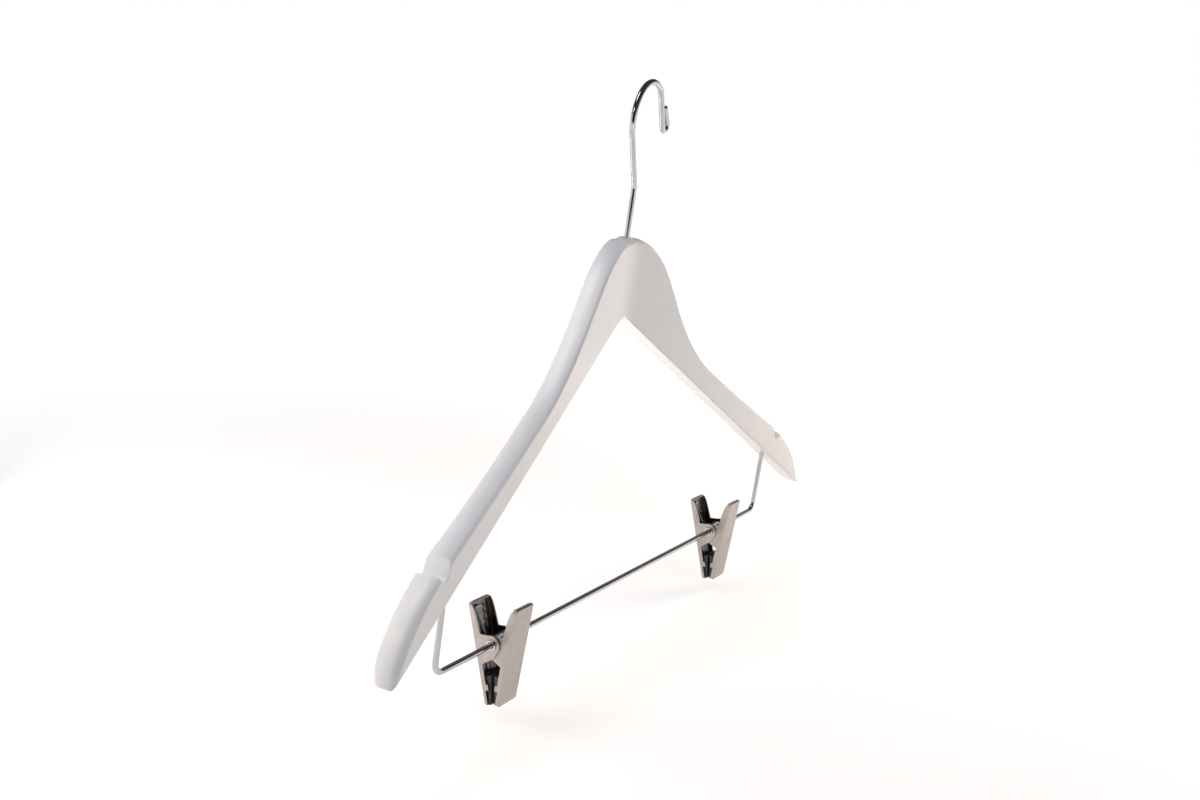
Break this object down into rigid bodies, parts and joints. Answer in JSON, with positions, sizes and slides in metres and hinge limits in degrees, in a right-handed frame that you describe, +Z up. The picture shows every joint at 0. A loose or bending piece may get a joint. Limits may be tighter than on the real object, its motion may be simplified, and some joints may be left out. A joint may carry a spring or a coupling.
{
  "type": "skirt hanger",
  "caption": "Contoured wooden skirt hanger with a swivel wire hook, strap notches, and sprung metal clips that slide and swing on a wire bar below the arms.",
  "frame": {"origin": "where a rail lies under the hook's bow, on the axis that the hook turns about", "axes": "+X along the hanger to the right arm, -Y to the hollow front of the board, +Z up"},
  "size_m": [0.4486, 0.0484, 0.3026],
  "materials": {
    "white_wood": "satin white paint",
    "chrome_wire": "polished",
    "steel": "plain",
    "nickel": "brushed",
    "spring_steel": "drawn wire",
    "black_grip": "matte, ribbed"
  },
  "bodies": {
    "hook": {"hook": "chrome_wire", "hook_washer": "steel", "hook_collar": "steel"},
    "board": {"left_arm": "white_wood", "right_arm": "white_wood", "hook_bush": "steel", "clip_bar": "chrome_wire"},
    "left_slider": {"left_rivet": "nickel"},
    "left_clip": {"left_back_jaw": "nickel", "left_back_grip": "black_grip", "left_spring": "spring_steel"},
    "left_front": {"left_front_jaw": "nickel", "left_front_grip": "black_grip"},
    "right_slider": {"right_rivet": "nickel"},
    "right_clip": {"right_back_jaw": "nickel", "right_back_grip": "black_grip", "right_spring": "spring_steel"},
    "right_front": {"right_front_jaw": "nickel", "right_front_grip": "black_grip"}
  },
  "joints": [
    {"name": "hook_swivel", "type": "hinge", "parent": "hook", "child": "board", "pos_m": [0, 0, -0.098], "axis": [0, 0, 1], "continuous": true},
    {"name": "left_clip_slide", "type": "slide", "parent": "board", "child": "left_slider", "axis": [1, 0, 0], "range_m": [-0.036, 0.111]},
    {"name": "left_clip_swing", "type": "hinge", "parent": "left_slider", "child": "left_clip", "pos_m": [-0.123, -0.03013, -0.26687], "axis": [1, 0, 0], "continuous": true},
    {"name": "left_jaw_open", "type": "hinge", "parent": "left_clip", "child": "left_front", "pos_m": [-0.123, -0.03013, -0.26687], "axis": [-1, 0, 0], "range_deg": [0, 32], "stiffness_Nm_per_rad": 0.05, "springref_deg": -45.84, "deforming": ["left_spring"]},
    {"name": "right_clip_slide", "type": "slide", "parent": "board", "child": "right_slider", "axis": [1, 0, 0], "range_m": [-0.106, 0.041]},
    {"name": "right_clip_swing", "type": "hinge", "parent": "right_slider", "child": "right_clip", "pos_m": [0.118, -0.03013, -0.26687], "axis": [1, 0, 0], "continuous": true},
    {"name": "right_jaw_open", "type": "hinge", "parent": "right_clip", "child": "right_front", "pos_m": [0.118, -0.03013, -0.26687], "axis": [-1, 0, 0], "range_deg": [0, 32], "stiffness_Nm_per_rad": 0.05, "springref_deg": -45.84, "deforming": ["right_spring"]}
  ]
}
